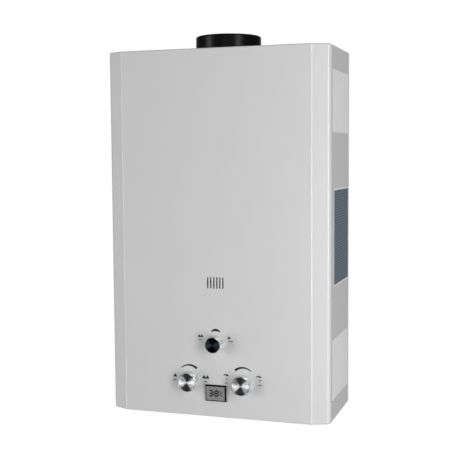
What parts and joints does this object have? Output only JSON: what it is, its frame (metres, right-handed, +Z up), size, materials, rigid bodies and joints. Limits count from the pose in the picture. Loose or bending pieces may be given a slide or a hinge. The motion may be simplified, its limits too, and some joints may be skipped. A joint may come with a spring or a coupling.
{
  "type": "tankless gas water heater",
  "caption": "Wall-hung tankless gas water heater: folded steel case with side louvres, round flue collar, control knobs, temperature display and pipe tails below",
  "frame": {"origin": "middle of the four wall holes, on the wall plane", "axes": "+X to the right seen from the front, +Y into the wall, +Z up"},
  "size_m": [0.38, 0.1776, 0.651],
  "materials": {
    "painted_sheet": "satin silver-grey paint on steel sheet",
    "galvanised_sheet": "zinc-coated steel sheet",
    "black_enamel": "black satin enamel",
    "copper": "tinned and plain copper",
    "brass": "turned and cast brass",
    "stainless_sheet": "bright stainless steel",
    "cast_aluminium": "die-cast aluminium",
    "ceramic": "white ceramic",
    "black_plastic": "moulded black plastic",
    "white_plastic": "moulded off-white plastic",
    "rubber": "black rubber",
    "chromed_knob": "chromed plastic with a spun face",
    "display_glass": "grey reflective display panel"
  },
  "bodies": {
    "heater": {"front_cover": "painted_sheet", "back_plate": "galvanised_sheet", "top_panel": "galvanised_sheet", "bottom_panel": "galvanised_sheet", "flue_collar": "black_enamel", "draft_hood": "galvanised_sheet", "exchanger_core": "copper", "combustion_chamber": "copper", "chamber_brackets": "galvanised_sheet", "cold_pipe": "copper", "hot_pipe": "copper", "union_nut": "brass", "burner_frame": "stainless_sheet", "burner_bars": "stainless_sheet", "gas_manifold": "cast_aluminium", "gas_injectors": "brass", "electrode_bracket": "stainless_sheet", "ignition_electrode": "ceramic", "flame_sensor": "ceramic", "gas_valve_body": "cast_aluminium", "solenoid_valve": "black_plastic", "season_valve_body": "cast_aluminium", "valve_bracket": "galvanised_sheet", "water_valve_body": "brass", "water_valve_cover": "brass", "diaphragm": "rubber", "microswitch": "black_plastic", "microswitch_bracket": "galvanised_sheet", "display_bezel": "black_plastic", "lcd_panel": "display_glass", "display_housing": "black_plastic", "ignition_controller": "white_plastic", "battery_box": "black_plastic"},
    "gas_knob": {"gas_knob": "chromed_knob"},
    "water_knob": {"water_knob": "chromed_knob"},
    "season_knob": {"season_knob": "chromed_knob"},
    "push_rod": {"push_rod": "stainless_sheet"},
    "microswitch_lever": {"microswitch_lever": "stainless_sheet"},
    "battery_lid": {"battery_lid": "black_plastic"}
  },
  "joints": [
    {"name": "gas_knob_turn", "type": "hinge", "parent": "heater", "child": "gas_knob", "pos_m": [-0.0465, -0.1686, -0.245], "axis": [0, 1, 0], "range_deg": [0, 120]},
    {"name": "water_knob_turn", "type": "hinge", "parent": "heater", "child": "water_knob", "pos_m": [0.0465, -0.1686, -0.245], "axis": [0, 1, 0], "range_deg": [0, 120]},
    {"name": "season_knob_turn", "type": "hinge", "parent": "heater", "child": "season_knob", "pos_m": [0, -0.1686, -0.1793], "axis": [0, 1, 0], "range_deg": [0, 120]},
    {"name": "push_rod_slide", "type": "slide", "parent": "heater", "child": "push_rod", "axis": [-1, 0, 0], "range_m": [0, 0.004], "stiffness_N_per_m": 300},
    {"name": "microswitch_lever_turn", "type": "hinge", "parent": "heater", "child": "microswitch_lever", "pos_m": [-0.0113, -0.078, -0.22525], "axis": [0, 1, 0], "range_deg": [0, 16]},
    {"name": "battery_lid_turn", "type": "hinge", "parent": "heater", "child": "battery_lid", "pos_m": [0.135, -0.0556, -0.3055], "axis": [1, 0, 0], "range_deg": [0, 100]}
  ],
  "couplings": [
    {"joint": "microswitch_lever_turn", "follows": "push_rod_slide", "rad_per_m": 69}
  ]
}
